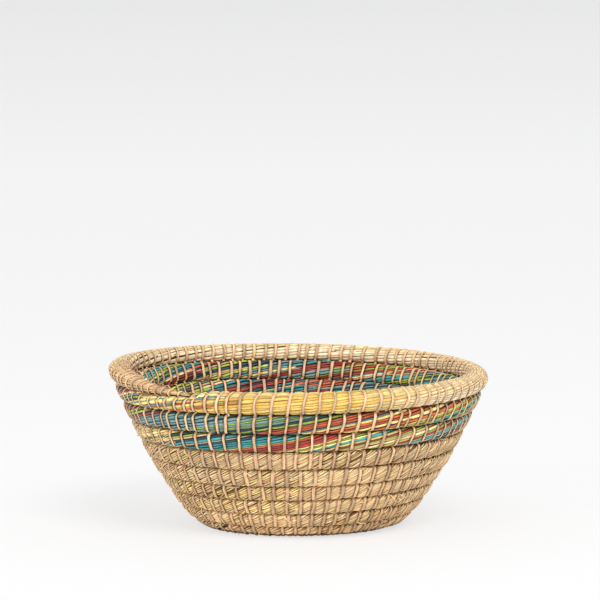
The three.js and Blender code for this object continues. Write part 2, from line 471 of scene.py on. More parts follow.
NATURAL_STRANDS = make_lay(NATURAL_LAY + NATURAL_LAY_SWING * np.sin(angle_from_front(GRID_LENGTH)))
DYED_STRANDS = make_lay(dyed_lay(GRID_LENGTH))
RIM_STRANDS = make_lay(RIM_LAY)


# The stitches

def slant_at(length):
    """How far a stitch leans along the row from the bottom of its row to the top."""
    return np.interp(turns_back(length), SLANT_TURNS, SLANTS)


def spacing_at(length):
    turns = turns_back(length)
    front = np.interp(turns, SPACING_TURNS, FRONT_SPACINGS)
    sides = np.interp(turns, SPACING_TURNS, SIDE_SPACINGS)
    return mix(sides, front, front_share(length))


def sew_stitches():
    """Lengths along the coil of the stitches."""
    draw = np.random.default_rng(11)
    stitches = [FIRST_STITCH]
    while True:
        spacing = float(spacing_at(stitches[-1]))
        wanted = stitches[-1] + spacing * draw.uniform(*SPACING_SPREAD)
        if wanted > COIL_LENGTH - END_MARGIN:
            return np.array(stitches)
        under = float(one_row_under(wanted))
        if under > 0:
            lean = float(slant_at(wanted) + slant_at(under)) / 2
            near = [stitch for stitch in stitches if abs(stitch - under) < NEIGHBOUR_REACH]
            over = [float(length_at(place_at(stitch) + STEPS_PER_TURN)) + lean for stitch in near]
            nearest = min(over, key=lambda place: abs(place - wanted), default=wanted)
            if abs(nearest - wanted) < PULL_REACH * spacing:
                wanted = mix(wanted, nearest, UPPER_PULL if turns_back(wanted) < PULL_TURNS else LOWER_PULL)
        stitches.append(max(wanted, stitches[-1] + LEAST_SPACING * spacing))


STITCHES = sew_stitches()


def stitch_shift(length, angle):
    """How far along the row the twine has moved at this angle round the bundle."""
    turned = (angle + math.pi) % TURN - math.pi
    slant = slant_at(length)
    outside = slant / 2 * turned / (math.pi / 2)
    down_inside = np.where(turned > 0, turned - math.pi / 2, turned + 1.5 * math.pi) / math.pi
    inside = slant / 2 + down_inside * (spacing_at(length) - slant) / 2
    return np.where(np.abs(turned) <= math.pi / 2, outside, inside)


def past_stitch(length, angle):
    """How far past the nearest stitch a point is, and less than 0 before it."""
    unslanted = length - stitch_shift(length, angle)
    after = np.clip(np.searchsorted(STITCHES, unslanted), 1, len(STITCHES) - 1)
    past_last, past_next = unslanted - STITCHES[after - 1], unslanted - STITCHES[after]
    return np.where(past_last < -past_next, past_last, past_next)


def pinch_at(length, angle):
    """How far the nearest stitch pulls the bundle in."""
    crown = mix(PINCH_CROWN_NATURAL, PINCH_CROWN, dyed_share(length))
    depth = mix(crown, PINCH_GROOVE, np.abs(np.sin(angle)) ** 4)
    near = bump(past_stitch(length, angle), 0, PINCH_WIDTH)
    return depth * near * radius_at(length) / (UPPER_DIAMETER / 2)


def contact_shade(length, angle, middles, away):
    """How light the grass is painted: painted shade beside the twine, in the grooves and at the wall's foot.
    """
    turns = turns_back(length)
    beside = bump(np.abs(past_stitch(length, angle)), *CONTACT_SPOT)
    beside = beside * mix(CONTACT_DARKNESS, FRONT_DARKNESS, front_share(length))
    beside = beside * mix(1, RIM_CONTACT, fade(turns, *RIM_CONTACT_FADE))
    upright = np.where(turns < FREE_TOP_TURNS, -np.sin(angle), np.abs(np.sin(angle)))
    groove_start = mix(GROOVE_START, RIM_GROOVE_START, fade(turns, *RIM_GROOVE_FADE))
    groove = fade(upright, groove_start, groove_start + GROOVE_SPREAD)
    groove = groove * mix(GROOVE_DARKNESS, DYED_GROOVE_DARKNESS, fade(turns, *DYED_GROOVE_FADE))
    return (1 - np.maximum(beside, groove)) * foot_shade(middles, away)


def foot_shade(points, away):
    """How light the grass and the twine are painted, with painted shade at the foot of the wall."""
    across = np.hypot(points[..., 0], points[..., 1])
    facing = points[..., 0] * away[..., 0] + points[..., 1] * away[..., 1]
    out = fade(across, *FOOT_RADIUS_FADE) * fade(facing / np.maximum(across, 1), *FOOT_FACING_FADE)
    height = points[..., 2] - UNDERSIDE_REACH * fade(-away[..., 2], *UNDERSIDE_FADE)
    return 1 - FOOT_DARKNESS * out * fade(height, FOOT_HEIGHT, 0.35 * FOOT_HEIGHT)


def surface(length, angle, lift):
    """Points on the bundle, and the directions away from its middle there."""
    place = place_at(length)
    radius = radius_at(length)
    over = gap_above(np.interp(place, STATIONS, COIL_DISTANCE))
    under = gap_above(np.interp(place - STEPS_PER_TURN, STATIONS, COIL_DISTANCE))
    full = np.clip(radius / FULL_RADIUS, 0, 1)
    turns = turns_back(length)
    dyed = dyed_share(length)
    pressed = 2 * tail_sink(turns - 1) * fade(turns, *TAIL_PRESS_FADE)
    top = fade(turns, *RIM_TOP_FADE)
    over = over * (1 - top) - pressed - RIM_FLATTENING * top
    swell = np.where(np.sin(angle) > 0, over, under) / 2 * mix(NATURAL_SWELL, 1, dyed)
    across = np.abs(np.cos(angle)) / (radius + OUTWARD_SWELL * full)
    up = np.abs(np.sin(angle)) / (radius + swell * full)
    squareness = mix(NATURAL_SQUARENESS, DYED_SQUARENESS, dyed)
    squareness = mix(squareness, RIM_SQUARENESS, fade(turns, *RIM_FADE))
    reach = (across ** squareness + up ** squareness) ** (-1 / squareness)
    middle, outward, upward = frame_at(place)
    away = np.cos(angle)[..., None] * outward + np.sin(angle)[..., None] * upward
    reach = reach - pinch_at(length, angle) + lift
    return middle + reach[..., None] * away, away


# Strands

def round_section(sides):
    return np.array([[math.cos(angle), math.sin(angle)] for angle in np.arange(sides) / sides * TURN])


STRAW_SECTION = np.array([[1, 0], [0.5, 0.87], [-0.5, 0.87], [-1, 0], [0, -1]])
MARK_SECTION = np.array([[1, 0], [0, 1], [-1, 0], [0, -0.8]])
HAIR_SECTION = round_section(3)
TWINE_SECTION = round_section(8)
CORE_SIDES = 12

# A strand sways, and ripples up and down, in waves along its length
SWAY = 0.25
SWAY_WAVES = 7
RIPPLE = 0.3
RIPPLE_WAVES = 25

# A strand's ends dip into the bundle over a few points, and are narrower and thinner
END_FADE = (-0.2, 2.5)
END_DIP = 0.7
END_WIDTH = 0.45
END_THICKNESS = 0.5
TIP_VANISHES = -2
TIP_FULL = -1.9

# The waves in which the seam on the inside wanders: reach, number and start
SEAM_WAVES = [(0.2, 3, 0), (0.04, 8, 1)]


def sweep(middles, side_hint, half_width, half_thickness, section, tint, draw, edge=1):
    """A group of strands: closed rings of the section along each line of middles.

    side_hint is roughly across the strand, and edge is how light its edges are painted: painted shade.
    """
    along = unit(np.gradient(middles, axis=1))
    side = unit(side_hint - np.sum(side_hint * along, axis=-1, keepdims=True) * along)
    normal = np.cross(along, side)
    across = half_width[..., None] * section[:, 0]
    raised = half_thickness[..., None] * section[:, 1]
    rings = middles[:, :, None, :] + across[..., None] * side[:, :, None, :]
    rings = rings + raised[..., None] * normal[:, :, None, :]
    run = run_along(middles)
    strand = np.zeros(rings.shape)
    strand[..., 0] = across
    strand[..., 1] = run[..., None] + draw.uniform(0, 400, len(middles))[:, None, None]
    strand[..., 2] = draw.uniform(0, 100, len(middles))[:, None, None]
    # Painted shade darkens each strand's edges, where it meets its neighbours
    at_edge = np.abs(section[:, 0]) > 0.9
    light = np.where(at_edge, np.reshape(edge, (-1, 1, 1)), 1)
    colours = np.broadcast_to(tint[..., None, :] * warm(light), rings.shape)
    return {"rings": rings, "strand": strand, "tint": colours, "run": run, "half_width": half_width}


def sweep_on_surface(length, angle, lift, half_width, flatness, section, tints, draw):
    """A group of strands over the bundle, each of one tint."""
    middles, away = surface(length, angle, lift)
    side = np.cross(away, np.gradient(middles, axis=1))
    return sweep(middles, side, half_width, flatness * half_width, section, tints[:, None], draw)


def lay_strands(
        starts, ends, crossing, lay, widths, tint, points, draw, rough, edge, above=0, tip=0):
    """Strands that wind round the bundle in a lay, each over the outside at its crossing length.

    rough is how unevenly they lie, above is how far they are lifted, and tip is the length of their points.
    """
    count = len(starts)
    share = np.linspace(0, 1, points)
    length = starts[:, None] + (ends - starts)[:, None] * share
    phase = draw.uniform(0, TURN, (count, 1))
    wander = draw.uniform(-SWAY, SWAY, (count, 1)) * rough * np.sin(share * SWAY_WAVES + phase)
    angle = turned_at(length, lay) - turned_at(crossing, lay)[:, None] + wander
    scale = radius_at(length) / np.maximum(radius_at(crossing), LEAST_RADIUS)[:, None]
    to_nearest_end = np.minimum(np.arange(points), np.arange(points)[::-1])
    ended = fade(to_nearest_end, *END_FADE)
    offset = rough * (draw.uniform(-1, 1, (count, 1)) + RIPPLE * np.sin(share * RIPPLE_WAVES + phase))
    lift = -STRAW_THICKNESS + np.reshape(above, (-1, 1)) + offset - END_DIP * (1 - ended)
    middles, away = surface(length, angle, lift)
    half_width = (widths / 2)[:, None] * scale * mix(END_WIDTH, 1, ended)
    to_end = ends[:, None] - length
    half_width = half_width * fade(to_end, TIP_VANISHES, np.reshape(tip, (-1, 1)) + TIP_FULL)
    side = np.cross(away, np.gradient(middles, axis=1))
    half_thickness = STRAW_THICKNESS * np.clip(radius_at(length) / 3, 0.4, 1) * mix(END_THICKNESS, 1, ended)
    # Painted shade darkens the stems beside the twine, in the grooves and at the foot of the wall
    tint = tint * warm(contact_shade(length, angle, middles, away))
    return sweep(middles, side, half_width, half_thickness, STRAW_SECTION, tint, draw, edge)


def wrap_range(crossing, lay, low, high):
    """Where strands that wrap once round the bundle start and end, at a seam on the inside of the bowl."""
    turned = turned_at(crossing, lay)
    seam = sum(reach * np.sin(waves * turned + phase) for reach, waves, phase in SEAM_WAVES)
    starts = np.interp(turned + seam - math.pi, lay[1], GRID_LENGTH)
    ends = np.interp(turned + seam + math.pi, lay[1], GRID_LENGTH)
    return np.clip(starts - SEAM_OVERLAP, low, high), np.clip(ends + SEAM_OVERLAP, low, high)


def walk(start, end, width, lay, draw, spread):
    """Crossing lengths and widths of strands laid edge to edge, closer where the bundle is thin."""
    crossings = []
    widths = []
    at = start
    while at < end:
        wide = width * draw.uniform(1 - spread, 1 + spread)
        thinned = min(1, float(radius_at(at)) / LEAST_RADIUS)
        reach = wide / 2 / math.sin(np.interp(at, GRID_LENGTH, lay[0])) * thinned
        at += reach
        crossings.append(at)
        widths.append(wide)
        at += reach
    return np.array(crossings), np.array(widths)


def shade(colours, draw, amount=0.1):
    """Colours as linear values, each made a little lighter or darker."""
    light = draw.uniform(1 - amount, 1 + amount, (len(colours), 1))
    return linear(np.reshape(colours, (-1, 3))) * light ** 2


def picked(pick, shares):
    """The first colour whose share, counted up from 0, is above the pick."""
    return next(colour for share, colour in shares if pick < share)


# Meshes from strands

# A strand's strip on the map for baked colours is this many half widths wide
GIRTH = 5
STRIP_GAP = 0.8


def shelve(lengths, widths, side):
    """Corners of strips set on shelves in a square of this side, or None if they don't fit."""
    corners = np.zeros((len(lengths), 2))
    across = 0
    shelf = 0
    shelf_height = 0
    for i in np.argsort(-lengths, kind="stable"):
        if across + widths[i] > side:
            shelf += shelf_height
            across = 0
            shelf_height = 0
        if shelf_height == 0:
            shelf_height = lengths[i] + STRIP_GAP
        if shelf + shelf_height > side:
            return None
        corners[i] = across, shelf
        across += widths[i] + STRIP_GAP
    return corners


def pack_strips(lengths, widths):
    """Each strip's corner and the square's side, in mm."""
    side = math.sqrt(float(np.sum((lengths + STRIP_GAP) * (widths + STRIP_GAP))))
    side = max(side, float(lengths.max()) + STRIP_GAP)
    while True:
        corners = shelve(lengths, widths, side)
        if corners is not None:
            return corners, side
        side *= 1.02


def tube_faces(group, first, corners, widths):
    """The faces of a group's closed tubes: their vertices, numbers of corners, and places on the map."""
    strands, stations, sides, _ = group["rings"].shape
    index = first + np.arange(strands * stations * sides).reshape(strands, stations, sides)
    turned = np.roll(index, -1, axis=2)
    quads = np.stack([index[:, :-1], turned[:, :-1], turned[:, 1:], index[:, 1:]], axis=-1)
    vertices = [quads.ravel(), index[:, 0, ::-1].ravel(), index[:, -1].ravel()]
    counts = [np.full(quads.size // 4, 4), np.full(2 * strands, sides)]
    left = np.arange(sides) / sides
    right = left + 1 / sides
    u = np.stack([left, right, right, left], axis=-1) * widths[:, None, None, None]
    low, high = group["run"][:, :-1], group["run"][:, 1:]
    v = np.stack([low, low, high, high], axis=-1)[:, :, None]
    u, v = np.broadcast_arrays(u + corners[:, 0, None, None, None], v + corners[:, 1, None, None, None])
    places = [np.stack([u, v], axis=-1).reshape(-1, 2)]
    for end in (0, -1):
        middle = corners + np.stack([widths / 2, group["run"][:, end]], axis=-1)
        places.append(np.repeat(middle, sides, axis=0))
    return np.concatenate(vertices), np.concatenate(counts), np.concatenate(places)


def joined(groups, key):
    """A value of every vertex of all the groups, in rows of three."""
    return np.concatenate([group[key].reshape(-1, 3) for group in groups])


def settled(points):
    """Nothing reaches below the surface that the bowl stands on."""
    height = points[:, 2]
    lifted = (height + np.sqrt(height ** 2 + SETTLING ** 2)) / 2
    return np.column_stack([points[:, :2], lifted])


def add_object(name, data):
    thing = bpy.data.objects.new(name, data)
    bpy.context.scene.collection.objects.link(thing)
    return thing


def make_piece(name, groups, material, nodes):
    """One mesh from groups of strands, each strand a closed tube, and its own map for baked colours."""
    lengths = np.concatenate([group["run"][:, -1] for group in groups])
    widths = np.concatenate([GIRTH * group["half_width"].max(axis=1) for group in groups])
    corners, square = pack_strips(lengths, widths)
    faces = []
    vertex = 0
    strand = 0
    for group in groups:
        chosen = slice(strand, strand + len(group["rings"]))
        faces.append(tube_faces(group, vertex, corners[chosen], widths[chosen]))
        vertex += group["rings"].size // 3
        strand = chosen.stop
    loops, counts, places = [np.concatenate(parts) for parts in zip(*faces)]
    points = settled(joined(groups, "rings")) * MM
    tints = joined(groups, "tint")
    mesh = bpy.data.meshes.new(name)
    mesh.vertices.add(len(points))
    mesh.vertices.foreach_set("co", points.ravel())
    mesh.loops.add(len(loops))
    mesh.loops.foreach_set("vertex_index", loops.astype(np.int32))
    mesh.polygons.add(len(counts))
    mesh.polygons.foreach_set("loop_start", (np.cumsum(counts) - counts).astype(np.int32))
    mesh.polygons.foreach_set("use_smooth", np.ones(len(counts), bool))
    mesh.uv_layers.new(name="OFBake").data.foreach_set("uv", (places / square).ravel())
    tint = mesh.attributes.new("tint", "FLOAT_COLOR", "POINT")
    tint.data.foreach_set("color", np.column_stack([tints, np.ones(len(tints))]).ravel())
    coordinates = mesh.attributes.new("strand", "FLOAT_VECTOR", "POINT")
    coordinates.data.foreach_set("vector", joined(groups, "strand").ravel())
    mesh.update(calc_edges=True)
    mesh.materials.append(material)
    piece = add_object(name, mesh)
    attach(piece, "root")
    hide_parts(*nodes)


# Materials

def new_material(name):
    """A material, its node tree and its shader."""
    material = bpy.data.materials.new(name)
    material.use_nodes = True
    return material, material.node_tree, material.node_tree.nodes["Principled BSDF"]


def feed(tree, node, inputs):
    """Links each input that is given another node's output, and sets each other one."""
    for name, value in inputs.items():
        if isinstance(value, bpy.types.NodeSocket):
            tree.links.new(value, node.inputs[name])
        else:
            node.inputs[name].default_value = value


def add_node(tree, kind, inputs, **settings):
    node = tree.nodes.new("ShaderNode" + kind)
    for name, value in settings.items():
        setattr(node, name, value)
    feed(tree, node, inputs)
    return node


def grass_material(name, roughness, fibre_scale, relief):
    """Dry grass. Fibres and stains follow each strand, through the coordinates that the mesh carries."""
    material, tree, shader = new_material(name)
    tint = add_node(tree, "Attribute", {}, attribute_name="tint")
    strand = add_node(tree, "Attribute", {}, attribute_name="strand")

    def noise(scale, detail, low, high):
        """Noise scaled across, along and between the strands, plain and set to a range."""
        stretched = add_node(
            tree, "VectorMath", {0: strand.outputs["Vector"], 1: scale}, operation="MULTIPLY")
        texture = add_node(
            tree, "TexNoise", {"Scale": 1, "Detail": detail, "Vector": stretched.outputs[0]})
        plain = texture.outputs["Fac"]
        ranged = add_node(tree, "MapRange", {
            "Value": plain, "From Min": 0.3, "From Max": 0.7, "To Min": low, "To Max": high,
        })
        return plain, ranged.outputs["Result"]

    fibre, fibre_shade = noise((fibre_scale, 0.1, 3), 3, 0.62, 1.34)
    _, stain = noise((0.2, 0.13, 7), 2, 0.88, 1.12)
    _, fine = noise((0.6, 0.9, 5), 3, 0.9, 1.1)
    _, gloss = noise((1, 0.2, 11), 2, roughness - 0.1, roughness + 0.12)
    colour = tint.outputs["Color"]
    for factor in (fibre_shade, stain, fine):
        colour = add_node(tree, "VectorMath", {0: colour, "Scale": factor}, operation="SCALE").outputs[0]
    normal = add_node(tree, "Bump", {"Strength": relief, "Distance": 0.15 * MM, "Height": fibre})
    feed(tree, shader, {"Base Color": colour, "Roughness": gloss, "Normal": normal.outputs["Normal"]})
    return material


# The bundle's grass

NATURAL_POINTS = 96
BASE_POINTS = 34
DYED_POINTS = 190
RIM_POINTS = 140

DARK_SHARE = 0.02
DARK_NARROWING = 0.7
MISSING_SHARE = 0.006
# How light the natural rows near the dyed rows are painted: painted shade
NEAR_DYED_SHADE = 0.86
HAIR_HALF_WIDTH = 0.07


def natural_tints(crossing, draw):
    """Dry stems in mixed tans, by shares that change along the coil, with painted shade near the dyed rows.
    """
    wave = np.clip(np.sin(crossing / 61) * np.sin(crossing / 23 + 1), 0, 1)
    golden = 0.02 + 0.3 * wave ** 2
    turns = turns_back(crossing)
    for middle, reach, strength in GOLDEN_PATCHES:
        golden = golden + strength * bump(turns, middle, reach)
    brown = golden + (0.15 + 0.12 * np.sin(crossing / 37 + 2))
    green = brown + 0.015
    colours = []
    for pick, *limits in zip(draw.uniform(0, 1, len(crossing)), golden, brown, green):
        named = zip([*limits, 0.72, 1], [STRAW_GOLD, STRAW_BROWN, STRAW_GREEN, STRAW_TAN, STRAW_PALE])
        colours.append(picked(pick, named))
    # Painted shade darkens the natural rows near the dyed rows
    shaded = mix(NEAR_DYED_SHADE, 1, fade(turns, *NEAR_DYED_SHADE_FADE))
    return shade(colours, draw, 0.11) * shaded[:, None]


def natural_strands(start, end, points, draw):
    """The stems of a length of the natural rows. A few are dark and thin, and a few are missing."""
    margin = 12
    crossing, widths = walk(
        start - margin, end + margin, NATURAL_WIDTH, NATURAL_STRANDS, draw, NATURAL_SPREAD)
    starts, ends = wrap_range(crossing, NATURAL_STRANDS, start, end)
    tints = natural_tints(crossing, draw)
    edges = draw.uniform(*NATURAL_EDGE_SHADE, len(crossing))
    dark = draw.uniform(0, 1, len(crossing)) < DARK_SHARE
    tints[dark] = shade([STRAW_DARK] * int(dark.sum()), draw, 0.15)
    widths = np.where(dark, DARK_NARROWING, 1) * widths
    least_length = 4
    kept = (draw.uniform(0, 1, len(crossing)) > MISSING_SHARE) & (ends - starts > least_length)
    return lay_strands(
        starts[kept], ends[kept], crossing[kept], NATURAL_STRANDS, 0.99 * widths[kept], tints[kept][:, None],
        points, draw, NATURAL_ROUGHNESS, edges[kept])


def near_grooves(low, high, count, draw):
    """Angles in this range above the middle of the row or below it."""
    side = np.where(draw.uniform(0, 1, (count, 1)) < 0.5, -1, 1)
    return side * draw.uniform(low, high, (count, 1))


def astray(at, angle, reach, heading, share):
    """The lengths and angles along stems that leave their places at a heading."""
    length = np.clip(at + reach * np.cos(heading) * share, 1, COIL_LENGTH - 1)
    return length, angle + reach * np.sin(heading) * share / radius_at(length)


def loose_ends(start, end, count, draw):
    """Short broken stems that lie across the rows near the grooves, one end standing a little off."""
    share = np.linspace(0, 1, 9)
    at = draw.uniform(start, end, (count, 1))
    groove = near_grooves(0.5, 1.15, count, draw)
    reach = draw.uniform(2, 6.5, (count, 1))
    heading = draw.uniform(-0.9, 1.1, (count, 1))
    length, angle = astray(at, groove, reach, heading, share)
    curl = draw.uniform(0, 0.9, (count, 1)) * share ** 3
    lift = -0.25 + 0.4 * np.minimum(share * 4, 1) + curl
    half_width = draw.uniform(0.2, 0.5, (count, 1)) * np.linspace(1, 0.5, len(share))
    tints = natural_tints(at[:, 0], draw)
    return sweep_on_surface(length, angle, lift, half_width, 0.5, STRAW_SECTION, tints, draw)


def groove_marks(start, end, count, draw):
    """Short dark strips in the grooves between the rows, shaped like stems and chaff: painted shade."""
    share = np.linspace(0, 1, 7)
    at = draw.uniform(start, end, (count, 1))
    groove = near_grooves(0.95, 1.2, count, draw)
    angle = groove + draw.uniform(-0.12, 0.2, (count, 1)) * share
    reach = draw.uniform(1.5, 5, (count, 1))
    length = np.clip(at + reach * share, 1, COIL_LENGTH - 1)
    lift = draw.uniform(-0.2, 0.12, (count, 1))
    half_width = draw.uniform(0.18, 0.46, (count, 1)) * (1 - 0.6 * np.abs(2 * share - 1) ** 3)
    tints = shade([GROOVE_SHADE_BROWN] * count, draw, 0.2)
    return sweep_on_surface(length, angle, lift, half_width, 0.6, MARK_SECTION, tints, draw)


def hairs(start, end, count, draw):
    """Fine hairs that stand off the grass."""
    share = np.linspace(0, 1, 7)
    at = draw.uniform(start, end, (count, 1))
    heading = draw.uniform(0, TURN, (count, 1))
    reach = draw.uniform(2, 6, (count, 1))
    root = draw.uniform(-1.2, 1.2, (count, 1))
    length, angle = astray(at, root, reach, heading, share)
    lift = -0.2 + draw.uniform(0.4, 2.2, (count, 1)) * share ** 1.5
    half_width = np.ones((count, 1)) * HAIR_HALF_WIDTH * np.linspace(1, 0.6, len(share))
    tints = shade([STRAW_PALE] * count, draw)
    return sweep_on_surface(length, angle, lift, half_width, 1, HAIR_SECTION, tints, draw)


def core_segments(start, end):
    """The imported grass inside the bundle. It bulges to meet the next row, so no light comes through."""
    draw = np.random.default_rng(5)
    segment_length = 45
    cuts = np.linspace(start, end, max(2, int((end - start) / segment_length) + 1))
    length = cuts[:-1, None] + (cuts[1:] - cuts[:-1])[:, None] * np.linspace(0, 1, 14)
    angles = np.arange(CORE_SIDES) / CORE_SIDES * TURN
    along, around = length[..., None], -angles
    bulge = np.abs(np.sin(around)) ** CORE_RIDGE_SHARPNESS
    bulge = bulge * np.where(np.sin(around) > 0, fade(turns_back(along), *CORE_TOP_FADE), 1)
    rings, _ = surface(along, around, mix(-CORE_DEPTH, CORE_RIDGE + pinch_at(along, around), bulge))
    strand = np.zeros(rings.shape)
    strand[..., 0] = angles * UPPER_DIAMETER / 2
    strand[..., 1] = length[..., None]
    # The inner grass is painted dark brown, a painted shade that shows in the gaps between stems and rows
    tints = shade([CORE_SHADE_BROWN] * len(length), draw)[:, None, None, :]
    return {
        "rings": rings, "strand": strand, "tint": np.broadcast_to(tints, rings.shape),
        "run": run_along(frame_at(place_at(length))[0]), "half_width": radius_at(length),
    }


def dyed_sequence():
    """Every strand of the dyed rows: its crossing length, its width and its dye."""
    draw = np.random.default_rng(23)
    laid = DYED_STRANDS[2]
    placed = []

    def laid_at(turns):
        return float(np.interp(length_at_turns(turns), GRID_LENGTH, laid))

    def add_stems(centre, width, dye):
        """A band of one dye is one stem, or a few side by side."""
        count = max(1, round(width / DYED_WIDTH))
        for stem in range(count):
            stem_centre = centre + (stem - (count - 1) / 2) * width / count
            crossing = float(np.interp(stem_centre, laid, GRID_LENGTH))
            placed.append((crossing, width / count, dye))

    def lay_out(row, anchor, anchor_turns):
        """Sets a row's strands edge to edge, with the anchor strand where the photograph has it."""
        spans = np.array([width for _, width in row])
        centres = np.cumsum(spans) - spans / 2
        centres = centres - centres[anchor] + laid_at(anchor_turns)
        for (dye, width), centre in zip(row, centres):
            add_stems(centre, width, dye)
        return centres[0] - spans[0] / 2, centres[-1] + spans[-1] / 2

    def fill(start, end):
        """The back of the bowl, in the same dyes. No two bands of one dye lie side by side."""
        at = start
        before = None
        while at < end:
            dye = str(draw.choice(list(DYES), p=BACK_SHARES))
            if dye == before:
                continue
            width = min(float(draw.choice(BACK_WIDTHS)), max(LEAST_BACK_WIDTH, end - at))
            add_stems(at + width / 2, width, dye)
            at += width
            before = dye

    lower_start, lower_end = lay_out(LOWER_ROW, *LOWER_ANCHOR)
    upper_start, upper_end = lay_out(UPPER_ROW, *UPPER_ANCHOR)
    rim_start, _ = lay_out(RIM_START, *RIM_ANCHOR)
    hidden_turns = 0.17
    fill(laid_at(DYED_TURNS + hidden_turns), lower_start)
    fill(lower_end, upper_start)
    fill(upper_end, rim_start)
    return sorted(placed)


def dyed_strands(draw):
    """The strands of the dyed rows, grouped by dye. The last ones end in points on the rim row."""
    crossing, widths, names = [np.array(column) for column in zip(*dyed_sequence())]
    starts, ends = wrap_range(crossing, DYED_STRANDS, DYED_START, RIM_LENGTH)
    cut = ends > RIM_LENGTH - 1
    most_cut = 14
    ends = np.where(cut, RIM_LENGTH - draw.uniform(0, most_cut, len(ends)), ends)
    on_rim = fade(crossing, *length_at_turns(np.array([1.25, 1.1])))
    least_length = 6
    lift_on_rim = 0.16
    tip_length = 12
    groups = {}
    for dye, colour in DYES.items():
        chosen = (names == dye) & (ends - starts > least_length)
        tints = shade([colour] * int(chosen.sum()), draw, 0.18)
        groups[dye] = lay_strands(
            starts[chosen], ends[chosen], crossing[chosen], DYED_STRANDS, 0.98 * widths[chosen] + 0.02,
            tints[:, None], DYED_POINTS, draw, DYED_ROUGHNESS, UPPER_EDGE_SHADE, lift_on_rim * on_rim[chosen],
            tip_length * cut[chosen])
    return groups


def cut_stems(crossing, starts, ends, widths, draw):
    """Long strands cut into overlapping stems: each one's crossing, start, end and width."""
    least_rest, least_last, overlap = 25, 30, 9
    stems = []
    for at, start, end, width in zip(crossing, starts, ends, widths):
        cut = start
        while cut < end - least_rest:
            until = min(end, cut + draw.uniform(70, 170))
            if end - until < least_last:
                until = end
            stems.append((at, cut, until, width))
            cut = until - overlap
    return [np.array(column) for column in zip(*stems)]


def rim_strands(draw):
    """Long yellow stems of the rim row, paler on its right, that run out in the beige tail."""
    low = float(length_at_turns(RIM_TURNS + 0.12))
    crossing, widths = walk(low - 210, COIL_LENGTH + 28, RIM_WIDTH, RIM_STRANDS, draw, RIM_SPREAD)
    starts, ends = wrap_range(crossing, RIM_STRANDS, low, COIL_LENGTH)
    at, start, end, width = cut_stems(crossing, starts, ends, widths, draw)
    colours = [picked(pick, RIM_COLOURS) for pick in draw.uniform(0, 1, len(at))]
    length = start[:, None] + (end - start)[:, None] * np.linspace(0, 1, RIM_POINTS)
    turns = turns_back(length)
    tint = shade(colours, draw, 0.08)[:, None]
    angle = turned_at(length, RIM_STRANDS) - turned_at(at, RIM_STRANDS)[:, None]
    pale = fade(turns, *PALE_RIM_FADE) * mix(0.5, 0.95, fade(np.sin(angle), 0.5, -0.1))
    tint = mix(tint, shade([RIM_BEIGE] * len(at), draw)[:, None], pale[..., None])
    in_tail = fade(turns, *TAIL_FADE)
    tint = mix(tint, shade([TAIL_BEIGE] * len(at), draw)[:, None], in_tail[..., None])
    return lay_strands(
        start, end, at, RIM_STRANDS, 1.03 * width, tint, RIM_POINTS, draw, RIM_ROUGHNESS, UPPER_EDGE_SHADE)


# The twine

def refine(points):
    """Adds a point half way along each step of smooth lines."""
    before = np.concatenate([points[:, :1], points[:, :-2]], axis=1)
    after = np.concatenate([points[:, 2:], points[:, -1:]], axis=1)
    halves = (9 * (points[:, :-1] + points[:, 1:]) - before - after) / 16
    merged = np.empty((points.shape[0], 2 * points.shape[1] - 1, 3))
    merged[:, ::2] = points
    merged[:, 1::2] = halves
    return merged


def stitch_lines(stitches, draw):
    """Each stitch comes out of the row under it, passes over its own row and goes back in on the inside."""
    count = len(stitches)
    entry = draw.uniform(*ENTRY_ANGLES, count)
    shift = draw.choice(list(ENTRY_SHIFTS), count, p=list(ENTRY_SHIFTS.values()))
    length = stitches[:, None] + stitch_shift(stitches[:, None], STITCH_ANGLES)
    wander = TWINE_WANDER * draw.uniform(-1, 1, (count, 1))
    length = length + wander * np.sin(2.3 * STITCH_ANGLES + draw.uniform(0, TURN, (count, 1)))
    over, _ = surface(length, STITCH_ANGLES, TWINE_LIFT)

    def under(shift_along, angle_degrees, lift):
        under_length = one_row_under(stitches + shift_along)
        return surface(under_length, np.radians(angle_degrees), lift)[0][:, None]

    outside = stitch_shift(stitches, -math.pi / 2 + 0.01)
    inside = stitch_shift(stitches, -math.pi / 2 - 0.01)
    return refine(np.concatenate([
        under(outside + shift * 1.2, entry - ENTRY_TURN, -ENTRY_DEPTH),
        under(outside + shift, entry, TWINE_LIFT - TWINE_PRESS),
        over,
        under(inside, 180 - entry, TWINE_LIFT - TWINE_PRESS),
        under(inside, 180 + ENTRY_TURN - entry, -ENTRY_DEPTH),
    ], axis=1))


def stitch_group(stitches, draw):
    """Stitches of uneven twine, wider and duller on the natural rows."""
    count = len(stitches)
    middles = stitch_lines(stitches, draw)
    dyed = dyed_share(stitches)[:, None]
    wide = mix(TWINE_HALF_WIDTH_NATURAL, TWINE_HALF_WIDTH, dyed) * draw.uniform(0.8, 1.2, (count, 1))
    ripple = np.sin(np.arange(middles.shape[1]) * 0.9 + draw.uniform(0, 6, (count, 1)))
    wide = wide * (1 + 0.06 * ripple)
    wide = wide * mix(0.75, 1, fade(radius_at(stitches), 1.5, 5))[:, None]
    thick = TWINE_HALF_THICKNESS * wide / TWINE_HALF_WIDTH
    colours = mix(linear(TWINE_TAN), linear(TWINE_PEACH), dyed) * draw.uniform(0.84, 1.06, (count, 1)) ** 2
    place = place_at(stitches)
    away = unit(middles - frame_at(place)[0][:, None])
    # Painted shade darkens the twine at the foot of the wall
    tint = colours[:, None] * warm(foot_shade(middles, away))
    forward = unit(frame_at(place + 0.1)[0] - frame_at(place - 0.1)[0])
    side = np.broadcast_to(-forward[:, None, :], middles.shape)
    return sweep(middles, side, wide, thick, TWINE_SECTION, tint, draw, TWINE_EDGE_SHADE)


# The pieces

